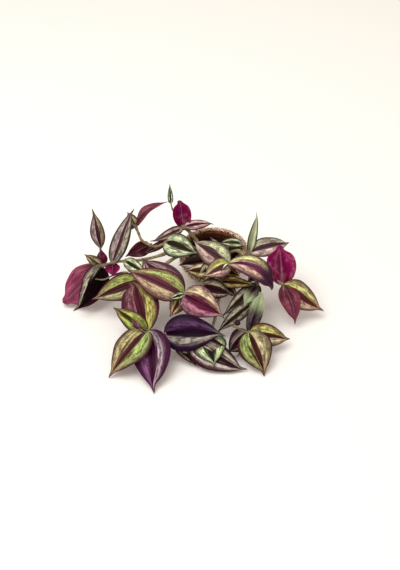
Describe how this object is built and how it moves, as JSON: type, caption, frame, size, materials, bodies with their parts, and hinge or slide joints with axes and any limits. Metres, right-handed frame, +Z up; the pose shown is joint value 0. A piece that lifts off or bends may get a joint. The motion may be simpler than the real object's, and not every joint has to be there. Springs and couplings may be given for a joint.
{
  "type": "potted tradescantia",
  "caption": "Trailing striped foliage plant whose leafy shoots spill over the front rim of a small round pot made of a coconut shell.",
  "frame": {"origin": "middle of the pot's foot, on the surface that it stands on", "axes": "+Z up, -Y towards the side that the stems trail over, +X to the right seen from that side"},
  "size_m": [0.2904, 0.2316, 0.1003],
  "materials": {
    "shell": "matt, fibrous, brown husk fibres on a dark shell",
    "soil": "matt, crumbly dark compost",
    "foliage_pink": "satin, pink and purple bands, magenta below",
    "foliage_crimson": "satin, crimson undersides",
    "foliage_striped": "satin, lime, pink and maroon bands",
    "foliage_violet": "satin, purple with silver and lime bands",
    "foliage_dark": "satin, dark purple and green with silver bands",
    "foliage_lime": "satin, lime and yellow-green bands"
  },
  "bodies": {
    "root": {"shell_pot": "shell", "soil": "soil", "far_left_shoot": "foliage_pink", "left_back_shoot": "foliage_crimson", "left_middle_shoot": "foliage_striped", "front_left_shoot": "foliage_violet", "front_shoot": "foliage_dark", "front_right_shoot": "foliage_dark", "crown_shoot": "foliage_lime", "right_back_shoot": "foliage_crimson", "young_shoot": "foliage_lime"}
  },
  "joints": []
}
